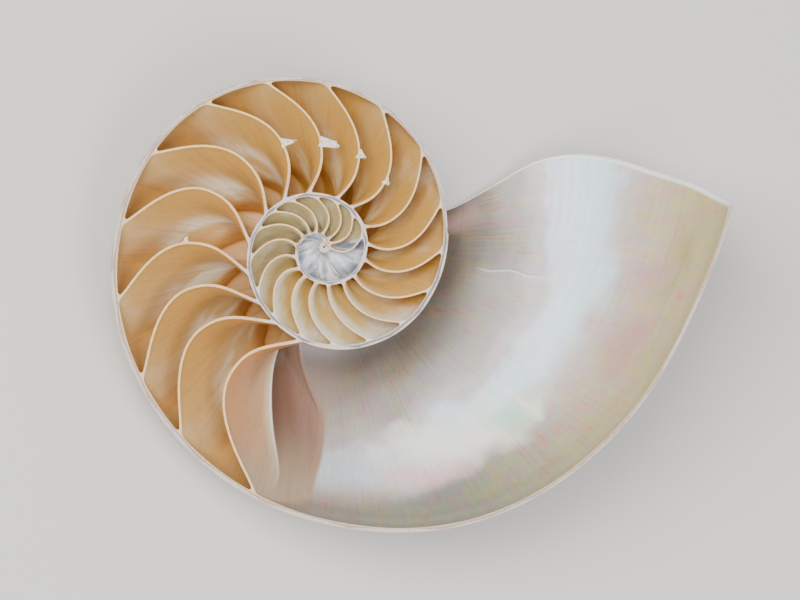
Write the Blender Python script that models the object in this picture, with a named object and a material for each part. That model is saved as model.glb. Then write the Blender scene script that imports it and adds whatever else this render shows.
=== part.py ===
"""One half of a chambered nautilus shell, sawn along its middle plane.

The coil is described in turns. A growth angle runs along the spiral in degrees, 0 near the first
chamber and 1086 at the lip, and every length is in millimetres until the mesh is made in metres.
The shell is drawn with the sawn plane at Z = 0 and the shell below it, and is then laid down the
way it comes to rest on a table, on its round side with the sawn edge uppermost.
"""

import math

import bmesh
import bpy
import numpy as np
from mathutils import Matrix, Vector

MM = 0.001

# Radius of the outer wall in the sawn plane, by growth angle.
OUTER_WALL = [
    (-180, 1.08), (-90, 1.31), (0, 1.44), (45, 1.94), (90, 2.82), (135, 5.12), (180, 7.31),
    (225, 8.84), (270, 9.95), (315, 11.09), (360, 11.61), (405, 12.6), (450, 14.25), (495, 17.1),
    (540, 20.5), (585, 23.5), (630, 27.4), (675, 30.9), (705, 32.5), (735, 34.6), (765, 38.5),
    (810, 45.4), (855, 52.7), (900, 57.6), (945, 64.4), (990, 75.6), (1020, 86.2), (1050, 95.5),
    (1070, 102.5), (1086, 112.2), (1110, 128.7), (1140, 152.6),
]
# Half of the whorl's section, as distance from the axis and depth, both over the wall's radius.
SECTION = [
    (1.0, 0.0), (0.993, 0.07), (0.965, 0.14), (0.915, 0.20), (0.84, 0.255), (0.74, 0.30),
    (0.62, 0.335), (0.5, 0.352), (0.4, 0.357), (0.3, 0.347), (0.2, 0.32), (0.1, 0.285), (0.0, 0.27),
]
# Thickness of the wall, by growth angle.
WALL = [
    (85, 0.25), (140, 0.4), (200, 0.6), (360, 0.8), (540, 0.9), (720, 1.1), (810, 1.0), (900, 1.6),
    (1086, 1.0),
]
# How far the lip runs ahead of its sawn tip, in degrees, by elevation below the sawn plane.
LIP_LEAD = [
    (0, 0.0), (12.4, 3.1), (18.6, 6.6), (23.8, 10.7), (29.6, 14.7), (34.4, 16.1), (40.7, 14.2),
    (46.1, 11.9), (49.4, 11.0), (60, 12.0), (75, 20.0), (90, 20.0),
]
# Chamber walls in the sawn plane, newest first: growth angle where each meets the outer wall, how
# far it has turned where it meets the whorl before, and how far it bows back between, in degrees.
SEPTA = [
    (974.0, 1.5, 21.5), (952.3, 4.0, 21.0), (935.5, 4.6, 21.0), (914.0, 4.5, 18.3),
    (893.0, 3.3, 21.0), (871.0, -1.9, 17.3), (849.0, 0.5, 17.5), (829.0, -3.3, 15.5),
    (809.0, -14.3, 12.6), (787.0, -11.5, 14.0), (764.0, -17.3, 11.0), (740.3, -16.3, 11.3),
    (718.6, -15.7, 9.3), (698.0, -21.9, 7.4), (676.5, -18.0, 8.0), (656.3, -20.3, 5.2),
    (636.3, -18.5, 9.7), (616.7, -19.9, 8.5), (595.0, -13.8, 13.0), (574.0, -14.4, 12.5),
    (548.3, -10.5, 12.0), (524.6, -11.0, 9.5), (505.6, -9.0, 11.5), (485.3, -5.0, 15.0),
    (460.0, 0.0, 20.0), (435.7, -14.0, 16.0), (409.5, -20.0, 16.0), (378.4, -30.0, 15.0),
    (340.0, -30.0, 14.0), (297.0, -24.0, 14.0), (250.0, -18.0, 14.0), (195.0, -14.0, 14.0),
    (140.0, -10.0, 12.0),
]
# Where a chamber wall meets the flank, in degrees ahead of its sawn end, by elevation.
SUTURE = [
    (0, 0.0), (5, 6.0), (9.6, 9.8), (15.8, 11.6), (20, 12.8), (24, 13.4), (28, 13.2), (31, 10.0),
    (35.7, 4.5), (38.8, 1.6), (43, -1.0), (90, -2.0),
]
SEPTUM_THICK = [(140, 0.35), (500, 0.55), (974, 0.8)]
# Short tubes on the back of some chamber walls: index in SEPTA, share of the way inward, length.
NECKS = [(3, 0.51, 2.0), (6, 0.54, 4.0), (7, 0.53, 4.6), (8, 0.51, 2.2), (9, 0.53, 1.8)]
NECK_RADIUS = 0.85

LIP = 1086.0
FIRST_CHAMBER_START = 100.0
# The oldest chamber walls are broken down below the saw, and the middle of the coil is pierced.
BROKEN_FROM, BROKEN_TO = 120.0, 362.0
BROKEN_ROWS, BROKEN_STEPS = [0, 13], 12
PIERCED_RADIUS, PIERCED_DEPTH = 0.35, 1.6
# Columns crowd towards the outer wall, where the chamber walls curve most.
COLUMN_CROWDING = 1.3
CALLUS_RADIUS = 45.0
CALLUS_INNER = 0.62
CALLUS_FROM, CALLUS_TO = 50.0, 88.0
DORSAL_COAT, DORSAL_COAT_SHARE = 0.3, 0.03
WHORL_TOP = 1.0
HOLLOW_TOP = 3.0
SAW_KERF = 0.02
WELD = 0.002
PAST_LIP = 6.0
BOW_DEPTH_ANGLE = 60.0
DORSAL_SUTURE_SHARE = 0.35

WHORL_STEPS = 56
WHORL_ROWS = [0, 7, 14, 20, 26, 31, 36, 43, 52, 64, 78]
BODY_ROWS = [0, 8, 16, 24, 32, 41, 50, 61, 72]
BODY_STEPS = 18
# Rows and columns of the closed chambers, and steps along the coil by growth angle.
CHAMBER_ROWS = [0, 8, 24, 32, 41, 61]
COLUMNS = 5
CHAMBER_STEPS = [(800.0, 3), (450.0, 2), (0.0, 1)]

# How the shell lies at rest: turn about X, then about Y, in degrees.
REST_ROLL = 7.2
REST_PITCH = -13.1

NACRE_COLOUR = (0.79, 0.62, 0.44, 1.0)
NACRE_ROUGHNESS = 0.32


def curve(points, x):
    """Smooth value at x of a curve through points given as pairs."""
    xs = [p[0] for p in points]
    ys = [p[1] for p in points]
    if x <= xs[0]:
        return ys[0]
    if x >= xs[-1]:
        return ys[-1]
    i = int(np.searchsorted(xs, x, side="right")) - 1
    slopes = []
    for j in (i, i + 1):
        before, after = max(j - 1, 0), min(j + 1, len(xs) - 1)
        slopes.append((ys[after] - ys[before]) / (xs[after] - xs[before]))
    step = xs[i + 1] - xs[i]
    u = (x - xs[i]) / step
    rise = (2 * u**3 - 3 * u**2 + 1) * ys[i] + (3 * u**2 - 2 * u**3) * ys[i + 1]
    return rise + step * ((u**3 - 2 * u**2 + u) * slopes[0] + (u**3 - u**2) * slopes[1])


LOG_WALL = [(turn, math.log(radius)) for turn, radius in OUTER_WALL]
SECTION_REACH = [(math.degrees(math.atan2(z, r)), math.hypot(r, z)) for r, z in SECTION]


def wall_radius(turn):
    return math.exp(curve(LOG_WALL, turn))


def section_point(elevation):
    """Point of the half section that the elevation's ray meets, for a wall radius of 1."""
    reach = curve(SECTION_REACH, abs(elevation))
    angle = math.radians(elevation)
    return Vector((reach * math.cos(angle), reach * math.sin(angle)))


def section_lean(elevation):
    """How much a step along the ray moves the surface outward, square to itself."""
    elevation = min(abs(elevation), 89.0)
    along = section_point(elevation + 0.5) - section_point(max(elevation - 0.5, 0.0))
    normal = Vector((along.y, -along.x)).normalized()
    return section_point(elevation).dot(normal)


def callus(elevation):
    u = (abs(elevation) - CALLUS_FROM) / (CALLUS_TO - CALLUS_FROM)
    u = min(max(u, 0.0), 1.0)
    return u * u * (3 - 2 * u)


def outside(elevation, turn):
    """Scale of the section on the outside of the last whorl."""
    filled = callus(elevation)
    return wall_radius(turn) * (1 - filled) + CALLUS_RADIUS * filled


def between(elevation, turn):
    """Scale of the section on the wall between two whorls."""
    filled = callus(elevation)
    radius = wall_radius(turn)
    return radius * (1 - filled) + min(CALLUS_INNER * radius, CALLUS_RADIUS) * filled


def place(elevation, scale, turn):
    flat = section_point(elevation)
    angle = math.radians(turn)
    along = scale * flat.x
    return Vector((along * math.cos(angle), along * math.sin(angle), -scale * flat.y))


def lifted(point, height):
    """The point raised above the saw, straight up."""
    return Vector((point.x, point.y, height))


def inside(elevation, inward, turn):
    """Point in the hollow of a whorl: inward is 0 at the outer wall and 1 at the whorl before."""
    lean = section_lean(elevation)
    outer = between(elevation, turn) - curve(WALL, turn) / lean
    coat = min(DORSAL_COAT, DORSAL_COAT_SHARE * wall_radius(turn))
    inner = between(elevation, turn - 360) + coat / lean
    return place(elevation, outer + (inner - outer) * inward, turn)


def septum_turn(septum, elevation, inward):
    """Growth angle of a chamber wall's middle, at an elevation and a share of the way inward."""
    turn, twist, bow = septum
    shape = 1 - abs(2 * inward**1.35 - 1) ** 2.3
    fade = max(0.0, 1 - (elevation / BOW_DEPTH_ANGLE) ** 2)
    suture = curve(SUTURE, elevation) * (1 - inward * (1 - DORSAL_SUTURE_SHARE))
    return turn + twist * inward + suture - bow * shape * fade


def half_septum(index, elevation, inward):
    """Half of a chamber wall's thickness as an angle, no more than a quarter of the pitch."""
    septum, step = SEPTA[index], 0.02
    low, high = max(inward - step, 0.0), min(inward + step, 1.0)
    here = septum_turn(septum, elevation, inward)
    run = (inside(elevation, high, here) - inside(elevation, low, here)).length
    turned = math.radians(septum_turn(septum, elevation, high) - septum_turn(septum, elevation, low))
    point = inside(elevation, inward, here)
    axis_distance = max(math.hypot(point.x, point.y), 0.2)
    steepness = math.sqrt(1 / axis_distance**2 + (turned / run) ** 2)
    half = math.degrees(0.5 * curve(SEPTUM_THICK, septum[0]) * steepness)
    older = SEPTA[index + 1][0] if index + 1 < len(SEPTA) else FIRST_CHAMBER_START
    return min(half, 0.25 * (septum[0] - older))


def septum_face(index, side, elevation, inward):
    """Growth angle of one face of a chamber wall, 1 for the front and -1 for the back."""
    half = half_septum(index, elevation, inward)
    return septum_turn(SEPTA[index], elevation, inward) + side * half


def newest_wall(elevation, inward):
    """Point on the front of the newest chamber wall, straight between the closed chambers' rows."""
    elevation = min(elevation, CHAMBER_ROWS[-1])
    row = min(int(np.searchsorted(CHAMBER_ROWS, elevation, side="right")), len(CHAMBER_ROWS) - 1)
    above, below = CHAMBER_ROWS[row - 1], CHAMBER_ROWS[row]
    upper = inside(above, inward, septum_face(0, 1, above, inward))
    lower = inside(below, inward, septum_face(0, 1, below, inward))
    return upper.lerp(lower, (elevation - above) / (below - above))


def make_object(name, points, faces):
    """Object from points in millimetres, with its faces split in triangles and facing out."""
    mesh = bpy.data.meshes.new(name)
    mesh.from_pydata([p * MM for p in points], [], faces)
    shape = bmesh.new()
    shape.from_mesh(mesh)
    bmesh.ops.triangulate(shape, faces=shape.faces)
    bmesh.ops.recalc_face_normals(shape, faces=shape.faces)
    shape.to_mesh(mesh)
    shape.free()
    made = bpy.data.objects.new(name, mesh)
    bpy.context.collection.objects.link(made)
    return made


def bent_box(sizes, point_at):
    """Points and faces of a closed box whose three grid directions point_at bends into place."""
    index, points, faces = {}, [], []

    def corner(cell):
        if cell not in index:
            index[cell] = len(points)
            points.append(point_at(*cell))
        return index[cell]

    for fixed in range(3):
        first, second = [axis for axis in range(3) if axis != fixed]
        for end in (0, sizes[fixed]):
            for a in range(sizes[first]):
                for b in range(sizes[second]):
                    ring = []
                    for da, db in ((0, 0), (1, 0), (1, 1), (0, 1)):
                        cell = [0, 0, 0]
                        cell[fixed], cell[first], cell[second] = end, a + da, b + db
                        ring.append(corner(tuple(cell)))
                    faces.append(ring)
    return points, faces


def solid_whorl():
    """The last whorl filled solid: what the outside of the shell bounds."""
    points, faces = [], []
    rows = len(WHORL_ROWS) + 1
    for step in range(WHORL_STEPS + 1):
        grown = LIP - 360 + 360 * step / WHORL_STEPS
        points.append(lifted(place(0.0, outside(0.0, grown), grown), WHORL_TOP))
        for elevation in WHORL_ROWS:
            turn = grown + curve(LIP_LEAD, elevation)
            points.append(place(elevation, outside(elevation, turn), turn))
    pole, top = len(points), len(points) + 1
    points.append(place(90.0, CALLUS_RADIUS, LIP))
    points.append(Vector((0.0, 0.0, WHORL_TOP)))
    for step in range(WHORL_STEPS):
        here, ahead = step * rows, (step + 1) * rows
        for row in range(rows - 1):
            faces.append([here + row, ahead + row, ahead + row + 1, here + row + 1])
        faces.append([here + rows - 1, ahead + rows - 1, pole])
        faces.append([here, ahead, top])
    last = WHORL_STEPS * rows
    for row in range(rows - 1):
        faces.append([row, last + row, last + row + 1, row + 1])
    faces.append([rows - 1, last + rows - 1, pole])
    faces.append([0, last, top])
    return make_object("shell_half", points, faces)


def body_chamber():
    """The open hollow from the newest chamber wall out past the lip."""

    def point_at(row, column, step):
        elevation, inward = BODY_ROWS[max(row - 1, 0)], (column / COLUMNS) ** COLUMN_CROWDING
        back = septum_face(0, 1, elevation, inward)
        front = LIP + curve(LIP_LEAD, elevation) + PAST_LIP
        point = inside(elevation, inward, back + (front - back) * step / BODY_STEPS)
        if step == 0 and elevation < CHAMBER_ROWS[-1]:
            point = newest_wall(elevation, inward)
        return point if row else lifted(point, HOLLOW_TOP)

    return bent_box((len(BODY_ROWS), COLUMNS, BODY_STEPS), point_at)


def closed_chamber(index):
    """The hollow behind a chamber wall, as far as the wall before it or the start of the coil."""
    steps = next(steps for turn, steps in CHAMBER_STEPS if SEPTA[index][0] > turn)
    oldest = index + 1 == len(SEPTA)

    def point_at(row, column, step):
        elevation, inward = CHAMBER_ROWS[max(row - 1, 0)], (column / COLUMNS) ** COLUMN_CROWDING
        front = septum_face(index, -1, elevation, inward)
        back = FIRST_CHAMBER_START if oldest else septum_face(index + 1, 1, elevation, inward)
        point = inside(elevation, inward, back + (front - back) * step / steps)
        return point if row else lifted(point, HOLLOW_TOP)

    return bent_box((len(CHAMBER_ROWS), COLUMNS, steps), point_at)


def broken_walls():
    """The shallow trough where the oldest chamber walls are broken down."""

    def point_at(row, column, step):
        turn = BROKEN_FROM + (BROKEN_TO - BROKEN_FROM) * step / BROKEN_STEPS
        point = inside(BROKEN_ROWS[max(row - 1, 0)], 0.1 + 0.8 * column, turn)
        return point if row else lifted(point, HOLLOW_TOP)

    return bent_box((len(BROKEN_ROWS), 1, BROKEN_STEPS), point_at)


def pierced_middle():
    """The tiny pit that the coil turns around."""
    sides = 8
    points, faces = [Vector((0.0, 0.0, HOLLOW_TOP)), Vector((0.0, 0.0, -PIERCED_DEPTH))], []
    for side in range(sides):
        angle = 2 * math.pi * side / sides
        edge = Vector((math.cos(angle), math.sin(angle), 0.0)) * PIERCED_RADIUS
        points.append(lifted(edge, HOLLOW_TOP))
        points.append(lifted(edge, -0.5 * PIERCED_DEPTH))
    for side in range(sides):
        here, ahead = 2 + 2 * side, 2 + 2 * ((side + 1) % sides)
        faces += [[here, ahead, 0], [here + 1, ahead + 1, ahead, here], [ahead + 1, here + 1, 1]]
    return points, faces


def joined(name, shapes):
    """One object from several separate closed shapes."""
    points, faces = [], []
    for shape_points, shape_faces in shapes:
        start = len(points)
        points.extend(shape_points)
        faces.extend([[start + corner for corner in face] for face in shape_faces])
    return make_object(name, points, faces)


def neck(index, inward, length):
    """A siphuncle neck: a round peg from inside a chamber wall towards the chamber before."""
    septum = SEPTA[index]
    turn = septum_turn(septum, 0.0, inward)
    base = inside(0.0, inward, turn)
    angle = math.radians(turn)
    backward = Vector((math.sin(angle), -math.cos(angle), 0.0))
    peg = bmesh.new()
    bmesh.ops.create_cone(
        peg, cap_ends=True, segments=10, radius1=NECK_RADIUS * 1.15 * MM, radius2=NECK_RADIUS * 0.8 * MM,
        depth=length * MM,
    )
    mesh = bpy.data.meshes.new("neck")
    peg.to_mesh(mesh)
    peg.free()
    turn_to = backward.to_track_quat("Z", "Y").to_matrix().to_4x4()
    mesh.transform(Matrix.Translation((base + backward * (0.5 * length)) * MM) @ turn_to)
    made = bpy.data.objects.new("neck", mesh)
    bpy.context.collection.objects.link(made)
    return made


def combine(target, tool, operation):
    """Apply an exact Boolean to the target and leave the tool behind as a hidden guide."""
    modifier = target.modifiers.new(operation.lower(), "BOOLEAN")
    modifier.object = tool
    modifier.operation = operation
    modifier.solver = "EXACT"
    bpy.context.view_layer.update()
    shaped = bpy.data.meshes.new_from_object(
        target.evaluated_get(bpy.context.evaluated_depsgraph_get())
    )
    target.modifiers.clear()
    target.data = shaped
    tool.hide_render = True
    tool.display_type = "WIRE"


def weld(shell):
    """Join the corners that the cuts left closer together than any real edge."""
    shape = bmesh.new()
    shape.from_mesh(shell.data)
    bmesh.ops.triangulate(shape, faces=shape.faces)
    bmesh.ops.remove_doubles(shape, verts=shape.verts, dist=WELD * MM)
    bmesh.ops.dissolve_degenerate(shape, edges=shape.edges, dist=WELD * MM)
    shape.to_mesh(shell.data)
    shape.free()


def nacre():
    material = bpy.data.materials.new("nacre")
    material.use_nodes = True
    shader = material.node_tree.nodes["Principled BSDF"]
    shader.inputs["Base Color"].default_value = NACRE_COLOUR
    shader.inputs["Roughness"].default_value = NACRE_ROUGHNESS
    shader.inputs["Metallic"].default_value = 0.0
    return material


def build():
    for old in list(bpy.data.objects):
        bpy.data.objects.remove(old, do_unlink=True)

    shell = solid_whorl()
    chambers = [body_chamber()]
    chambers += [closed_chamber(index) for index in range(len(SEPTA))]
    combine(shell, joined("hollows", chambers + [pierced_middle()]), "DIFFERENCE")
    combine(shell, joined("broken", [broken_walls()]), "DIFFERENCE")
    for index, inward, length in NECKS:
        combine(shell, neck(index, inward, length), "UNION")

    saw_mesh = bpy.data.meshes.new("saw")
    saw_shape = bmesh.new()
    bmesh.ops.create_cube(saw_shape, size=400 * MM)
    saw_shape.to_mesh(saw_mesh)
    saw_shape.free()
    saw = bpy.data.objects.new("saw", saw_mesh)
    bpy.context.collection.objects.link(saw)
    saw.location.z = (200 - SAW_KERF) * MM
    combine(shell, saw, "DIFFERENCE")

    weld(shell)
    lay_down = Matrix.Rotation(math.radians(REST_PITCH), 4, "Y") @ Matrix.Rotation(
        math.radians(REST_ROLL), 4, "X"
    )
    shell.data.transform(lay_down)
    corners = np.array([vertex.co for vertex in shell.data.vertices])
    low, high = corners.min(axis=0), corners.max(axis=0)
    middle = (low + high) / 2
    shell.data.transform(Matrix.Translation((-middle[0], -middle[1], -low[2])))
    shell.data.materials.clear()
    shell.data.materials.append(nacre())
    shell.data.shade_smooth()
    shell.data.set_sharp_from_angle(angle=math.radians(35))


build()
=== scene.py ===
import math

import bpy
import numpy as np
from mathutils import Matrix, Vector


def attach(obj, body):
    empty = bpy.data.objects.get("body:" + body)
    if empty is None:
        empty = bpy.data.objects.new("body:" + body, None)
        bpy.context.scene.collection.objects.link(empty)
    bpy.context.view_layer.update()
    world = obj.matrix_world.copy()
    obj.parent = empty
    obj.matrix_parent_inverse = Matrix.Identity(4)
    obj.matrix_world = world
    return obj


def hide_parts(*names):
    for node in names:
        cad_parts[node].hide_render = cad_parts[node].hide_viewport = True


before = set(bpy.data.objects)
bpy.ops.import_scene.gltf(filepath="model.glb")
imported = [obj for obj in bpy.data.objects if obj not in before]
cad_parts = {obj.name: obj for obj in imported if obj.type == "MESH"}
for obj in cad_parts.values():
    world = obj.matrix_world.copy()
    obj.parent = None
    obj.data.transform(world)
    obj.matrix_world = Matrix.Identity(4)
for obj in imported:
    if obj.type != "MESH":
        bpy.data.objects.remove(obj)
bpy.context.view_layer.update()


# The whorl. A nautilus shell is one spiral wall of aragonite: chalky porcelain outside, nacre
# within, laid down at the lip as the animal grows. The last whorl is made solid first, as the cast
# that the hollows are then taken from.
MM = 0.001
LIP = 1086.0
CALLUS_RADIUS, CALLUS_INNER = 45.0, 0.62
CALLUS_FROM, CALLUS_TO = 50.0, 88.0
REST_ROLL, REST_PITCH = 7.2, -13.1
SAW_KERF, EASED = 0.02, 0.14
WHORL_TOP = 1.0
WHORL_STEPS, MOUTH_STEPS = 320, 8
# Growth angle in degrees, against the outer wall's distance from the axis in millimetres.
OUTER_WALL = [
    (-180, 1.08), (-90, 1.31), (0, 1.44), (45, 1.94), (90, 2.82), (135, 5.12), (180, 7.31),
    (225, 8.84), (270, 9.95), (315, 11.09), (360, 11.61), (405, 12.6), (450, 14.25), (495, 17.1),
    (540, 20.5), (585, 23.5), (630, 27.4), (675, 30.9), (705, 32.5), (735, 34.6), (765, 38.5),
    (810, 45.4), (855, 52.7), (900, 57.6), (945, 64.4), (990, 75.6), (1020, 86.2), (1050, 95.5),
    (1070, 102.5), (1086, 112.2), (1110, 128.7), (1140, 152.6),
]
# The half section, as shares of that distance: away from the axis, and down from the sawn plane.
SECTION = [
    (1.0, 0.0), (0.993, 0.07), (0.965, 0.14), (0.915, 0.20), (0.84, 0.255), (0.74, 0.30),
    (0.62, 0.335), (0.5, 0.352), (0.4, 0.357), (0.3, 0.347), (0.2, 0.32), (0.1, 0.285), (0.0, 0.27),
]
# How many degrees of growth the lip stands ahead, against the elevation below the sawn plane.
LIP_LEAD = [
    (0, 0.0), (4, 0.2), (8.3, 1.2), (12.4, 3.1), (18.6, 6.6), (23.8, 10.7), (29.6, 14.7), (34.4, 16.1),
    (40.7, 14.2), (46.1, 11.9), (49.4, 11.0), (60, 12.0), (75, 20.0), (90, 20.0),
]


def curve(points, x):
    """Smooth values at x of a curve through points given as pairs."""
    xs, ys = np.array(points, float).T
    slopes = np.empty_like(ys)
    slopes[1:-1] = (ys[2:] - ys[:-2]) / (xs[2:] - xs[:-2])
    slopes[0] = (ys[1] - ys[0]) / (xs[1] - xs[0])
    slopes[-1] = (ys[-1] - ys[-2]) / (xs[-1] - xs[-2])
    x = np.clip(x, xs[0], xs[-1])
    i = np.clip(np.searchsorted(xs, x, side="right") - 1, 0, len(xs) - 2)
    step = xs[i + 1] - xs[i]
    u = (x - xs[i]) / step
    value = (2 * u**3 - 3 * u**2 + 1) * ys[i] + (3 * u**2 - 2 * u**3) * ys[i + 1]
    return value + step * ((u**3 - 2 * u**2 + u) * slopes[i] + (u**3 - u**2) * slopes[i + 1])


def smooth_step(low, high, x):
    """0 below low, 1 above high, smooth in between."""
    u = np.clip((x - low) / (high - low), 0.0, 1.0)
    return u * u * (3 - 2 * u)


LOG_WALL = [(turn, math.log(radius)) for turn, radius in OUTER_WALL]
REACH = [(math.degrees(math.atan2(z, r)), math.hypot(r, z)) for r, z in SECTION]


def wall_radius(turn):
    """Distance of the outer wall from the axis at a growth angle."""
    return np.exp(curve(LOG_WALL, turn))


def section(elevation):
    """Distance from the axis and depth of the half section where the elevation's ray meets it."""
    reach, angle = curve(REACH, elevation), np.radians(elevation)
    return reach * np.cos(angle), reach * np.sin(angle)


def lean(elevation):
    """How far a step along the ray moves the surface outward, square to itself."""
    low, high = section(np.maximum(elevation - 0.5, 0.0)), section(np.minimum(elevation + 0.5, 89.9))
    across, down = high[0] - low[0], high[1] - low[1]
    flat, deep = section(np.minimum(elevation, 89.4))
    return (flat * down - deep * across) / np.hypot(across, down)


def outside(elevation, turn):
    """Scale of the section on the outside of the last whorl."""
    filled = smooth_step(CALLUS_FROM, CALLUS_TO, elevation)
    return wall_radius(turn) * (1 - filled) + CALLUS_RADIUS * filled


def between(elevation, turn):
    """Scale of the section on the wall between two whorls."""
    filled = smooth_step(CALLUS_FROM, CALLUS_TO, elevation)
    radius = wall_radius(turn)
    return radius * (1 - filled) + np.minimum(CALLUS_INNER * radius, CALLUS_RADIUS) * filled


def place(elevation, scale, turn):
    """Point in millimetres, with the axis upright at the origin and the sawn plane at height 0."""
    flat, deep = section(elevation)
    angle = np.radians(turn)
    return np.stack([scale * flat * np.cos(angle), scale * flat * np.sin(angle), -scale * deep], axis=-1)


lay_down = Matrix.Rotation(math.radians(REST_PITCH), 4, "Y") @ Matrix.Rotation(
    math.radians(REST_ROLL), 4, "X"
)
turn_down = np.array(lay_down.to_3x3())
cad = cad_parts["shell_half"].data
cad_points = np.empty(len(cad.vertices) * 3)
cad.vertices.foreach_get("co", cad_points)
cad_points = cad_points.reshape(-1, 3) @ turn_down
lip_tip = place(np.array(0.0), wall_radius(LIP), np.array(LIP)) * MM
cad_tip = cad_points[cad_points[:, 0].argmax()]
sawn_height = cad_points[:, 2].max() + SAW_KERF * MM
shift = np.array([cad_tip[0] - lip_tip[0], cad_tip[1] - lip_tip[1], sawn_height])


def read_points(made):
    """Coordinates of an object's points, one row for each."""
    points = np.empty(len(made.data.vertices) * 3)
    made.data.vertices.foreach_get("co", points)
    return points.reshape(-1, 3)


def set_points(made, points):
    """Move an object's points to these coordinates."""
    made.data.vertices.foreach_set("co", np.ascontiguousarray(points, dtype=np.float32).ravel())
    made.data.update()


def take_up(made):
    """Deselect everything, then select and activate one object."""
    bpy.ops.object.select_all(action="DESELECT")
    made.select_set(True)
    bpy.context.view_layer.objects.active = made


def in_edit(made, *steps):
    """Run edit-mode operators on the whole of one object."""
    take_up(made)
    bpy.ops.object.mode_set(mode="EDIT")
    bpy.ops.mesh.select_all(action="SELECT")
    for step, settings in steps:
        step(**settings)
    bpy.ops.object.mode_set(mode="OBJECT")


def face_out(made):
    """Weld points that coincide and turn every face outward."""
    in_edit(
        made,
        (bpy.ops.mesh.remove_doubles, {"threshold": 0.0000005}),
        (bpy.ops.mesh.normals_make_consistent, {"inside": False}),
    )


def whorl_points(grown, rows):
    """Points of the whorl's outside for growth angles, one row of points for each elevation."""
    rim = place(0.0 * grown, wall_radius(grown), grown)
    eased = rim * (1 - EASED / wall_radius(grown))[:, None]
    lid_middle = [0, -5.0, WHORL_TOP]
    columns = [
        0.0 * rim + lid_middle,
        eased * [1, 1, 0] + [0, 0, WHORL_TOP],
        eased * [1, 1, 0] + [0, 0, SAW_KERF],
        rim * [1, 1, 0] - [0, 0, EASED],
    ]
    for elevation in rows:
        turn = grown + curve(LIP_LEAD, elevation)
        columns.append(place(elevation + 0.0 * turn, outside(elevation, turn), turn))
    return np.stack(columns, axis=1)


whorl_rows = np.concatenate([
    np.arange(1.0, 30, 1.6), np.arange(30.5, 60, 1.9), np.linspace(61, 90, 13),
])
step_count, row_count = WHORL_STEPS + MOUTH_STEPS, len(whorl_rows) + 4
bpy.ops.mesh.primitive_grid_add(x_subdivisions=step_count, y_subdivisions=row_count - 1, size=1)
whorl = bpy.context.object
whorl.name = "nautilus_shell_half"
flat_grid = read_points(whorl)
column = np.rint((flat_grid[:, 0] + 0.5) * step_count).astype(int)
row = np.rint((flat_grid[:, 1] + 0.5) * (row_count - 1)).astype(int)
body = whorl_points(LIP - 360 + 360 * np.arange(WHORL_STEPS + 1) / WHORL_STEPS, whorl_rows)
back = np.linspace(0, 1, MOUTH_STEPS + 1)[1:, None, None]
body = np.concatenate([body, body[-1] * (1 - back) + body[0] * back])
set_points(whorl, body[column, row] * MM)
face_out(whorl)
whorl.data.materials.clear()


# The hollows. Each chamber is one hollow between two chamber walls, and the body chamber is the open
# one in front of the newest wall. Each is made as a core: a ball drawn out to fill the space, with
# the round corners that nacre leaves where a chamber wall meets the shell.
CORE_TOP = 3.0
# Growth angle in degrees, against the outer wall's thickness in millimetres.
WALL = [
    (85, 0.25), (140, 0.4), (200, 0.6), (360, 0.8), (540, 0.9), (720, 1.1), (810, 1.0), (900, 1.6),
    (1086, 1.0),
]
DORSAL_COAT, DORSAL_COAT_SHARE = 0.3, 0.03
# Each chamber wall, the newest first: its growth angle at the outer wall, how far it is twisted
# towards the inner wall, and how far it is bowed back, all in degrees.
SEPTA = [
    (974.0, 1.5, 21.5), (952.3, 4.0, 21.0), (935.5, 4.6, 21.0), (914.0, 4.5, 18.3),
    (893.0, 3.3, 21.0), (871.0, -1.9, 17.3), (849.0, 0.5, 17.5), (829.0, -3.3, 15.5),
    (809.0, -14.3, 12.6), (787.0, -11.5, 14.0), (764.0, -17.3, 11.0), (740.3, -16.3, 11.3),
    (718.6, -15.7, 9.3), (698.0, -21.9, 7.4), (676.5, -18.0, 8.0), (656.3, -20.3, 5.2),
    (636.3, -18.5, 9.7), (616.7, -19.9, 8.5), (595.0, -13.8, 13.0), (574.0, -14.4, 12.5),
    (548.3, -10.5, 12.0), (524.6, -11.0, 9.5), (505.6, -9.0, 11.5), (485.3, -5.0, 15.0),
    (460.0, 0.0, 20.0), (435.7, -14.0, 16.0), (409.5, -20.0, 16.0), (378.4, -30.0, 15.0),
    (340.0, -30.0, 14.0), (297.0, -24.0, 14.0), (250.0, -18.0, 14.0), (195.0, -14.0, 14.0),
    (140.0, -10.0, 12.0),
]
# How many degrees of growth a chamber wall's edge stands ahead, against the elevation.
SUTURE = [
    (0, 0.0), (5, 6.0), (9.6, 9.8), (15.8, 11.6), (20, 12.8), (24, 13.4), (28, 13.2), (31, 10.0),
    (35.7, 4.5), (38.8, 1.6), (43, -1.0), (90, -2.0),
]
SEPTUM_THICK = [(140, 0.35), (500, 0.55), (974, 0.8)]
THICKEST_SHARE = 0.25
FIRST_CHAMBER_START, PAST_LIP = 100.0, 6.0
CHAMBER_END, BODY_END, BOW_END = 61.0, 72.0, 60.0
BOW_LEAN, BOW_ROUNDNESS = 1.35, 2.3
DORSAL_SUTURE_SHARE = 0.35
CORNER, EASE_SHARE, FLOOR_DIP, ABOVE_SAW = 1.1, 0.22, 0.9, 0.1
FINE_FROM = 560


def hollow_sides(elevation, turn):
    """Scale of the section on the outer and the inner side of a whorl's hollow."""
    slant = lean(elevation)
    coat = np.minimum(DORSAL_COAT, DORSAL_COAT_SHARE * wall_radius(turn))
    outer = between(elevation, turn) - curve(WALL, turn) / slant
    return outer, between(elevation, turn - 360) + coat / slant


def inside(elevation, inward, turn):
    """Point in a whorl's hollow, where inward goes from 0 at the outer wall to 1 at the inner one."""
    outer, inner = hollow_sides(elevation, turn)
    return place(elevation, outer + (inner - outer) * inward, turn)


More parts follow.
